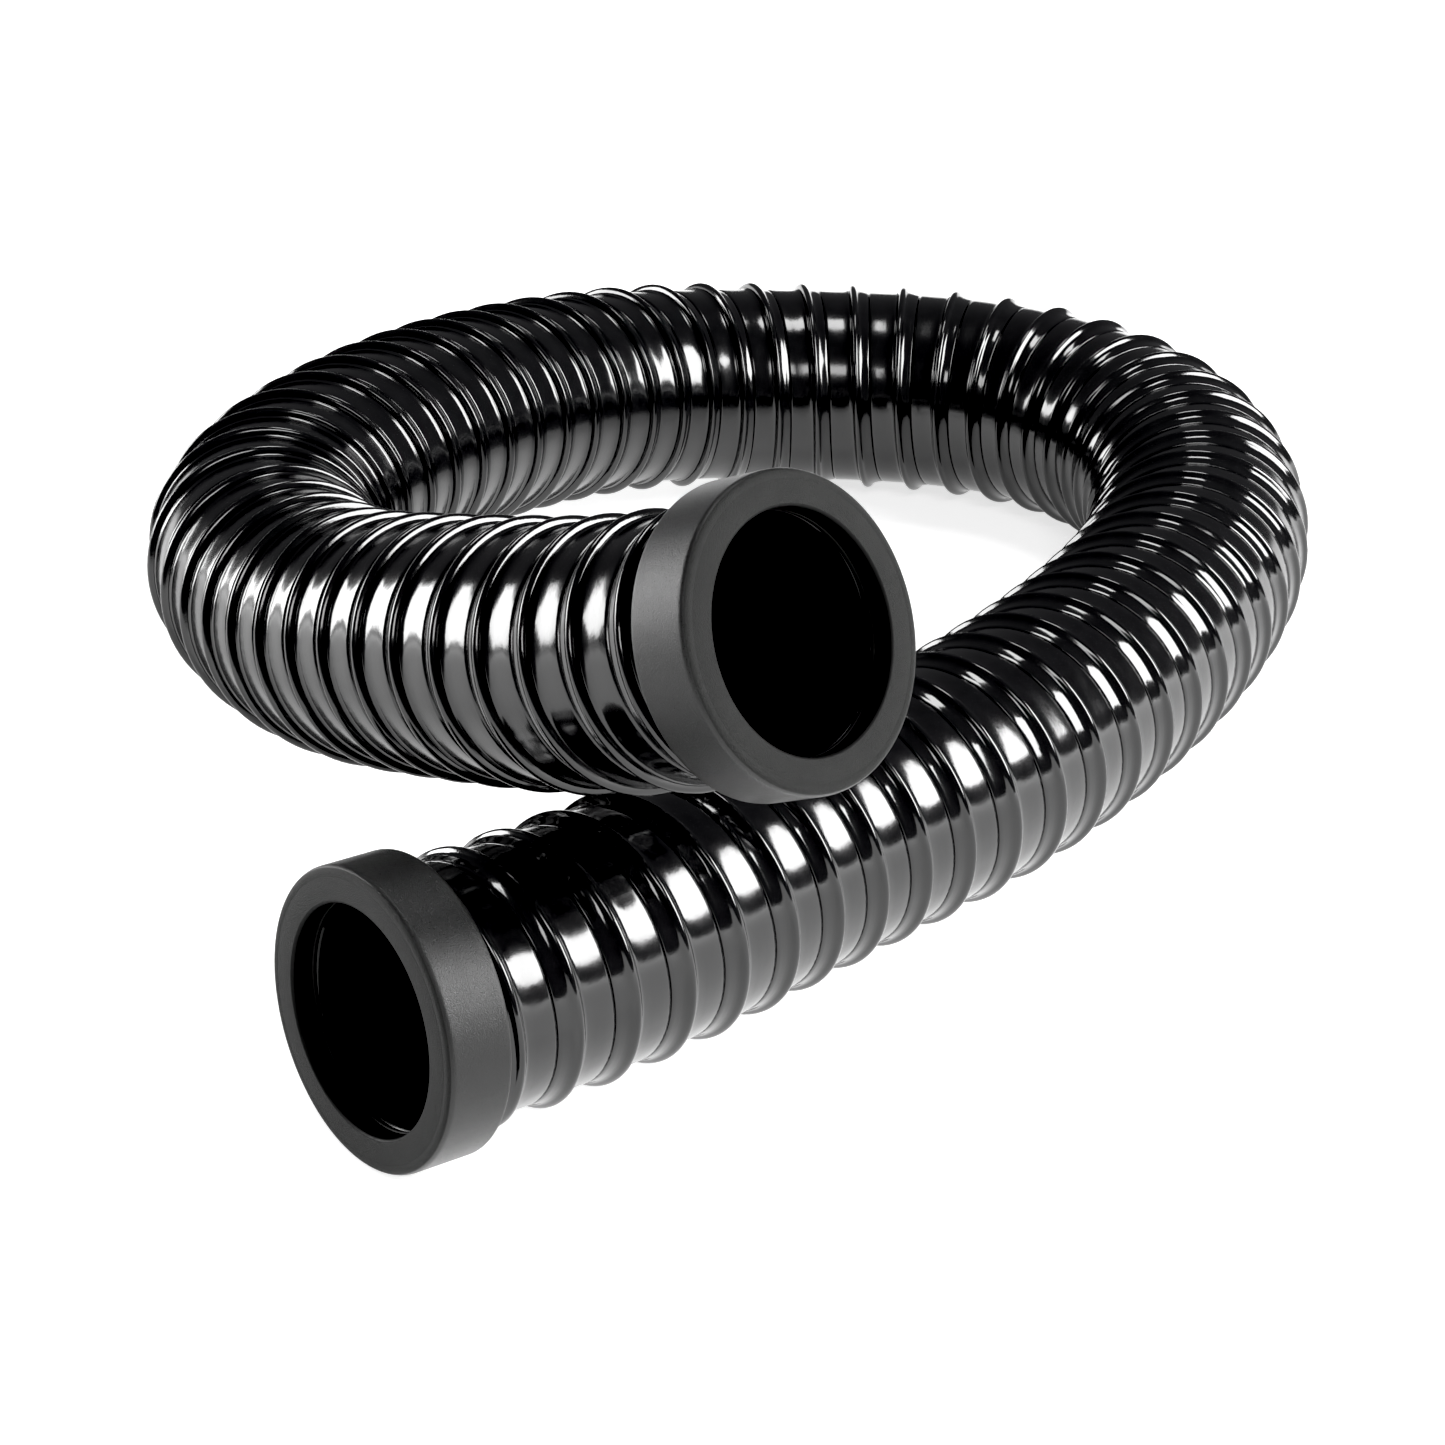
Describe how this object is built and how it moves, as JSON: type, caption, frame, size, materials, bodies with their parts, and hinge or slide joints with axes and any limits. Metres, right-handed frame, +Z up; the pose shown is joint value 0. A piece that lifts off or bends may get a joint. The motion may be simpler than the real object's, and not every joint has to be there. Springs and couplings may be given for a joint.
{
  "type": "vacuum hose",
  "caption": "Short spiral-ribbed vacuum hose lying in a single loop, with a plain swivel cuff on each end for a spigot of the bore's size.",
  "frame": {"origin": "on the floor under the centre of the object's bounding box", "axes": "+Z up from the floor, +X to the right and +Y away from the end cuffs; the object is longest along Y and shortest along Z"},
  "size_m": [0.2302, 0.3254, 0.1108],
  "materials": {
    "hose_web": "glossy black flexible PVC",
    "hose_rib": "high-gloss black rigid PVC",
    "collar": "satin black moulded plastic",
    "cuff": "matt charcoal, fine moulded grain"
  },
  "bodies": {
    "hose": {"hose_web": "hose_web", "hose_rib": "hose_rib", "lower_collar": "collar", "upper_collar": "collar"},
    "lower_cuff": {"lower_cuff": "cuff"},
    "upper_cuff": {"upper_cuff": "cuff"}
  },
  "joints": [
    {"name": "lower_cuff_swivel", "type": "hinge", "parent": "hose", "child": "lower_cuff", "pos_m": [-0.058, -0.141, 0.0255], "axis": [-0.7792, -0.6234, 0.0649], "continuous": true},
    {"name": "upper_cuff_swivel", "type": "hinge", "parent": "hose", "child": "upper_cuff", "pos_m": [0.004, -0.132, 0.0865], "axis": [0.6919, -0.593, 0.4118], "continuous": true}
  ]
}
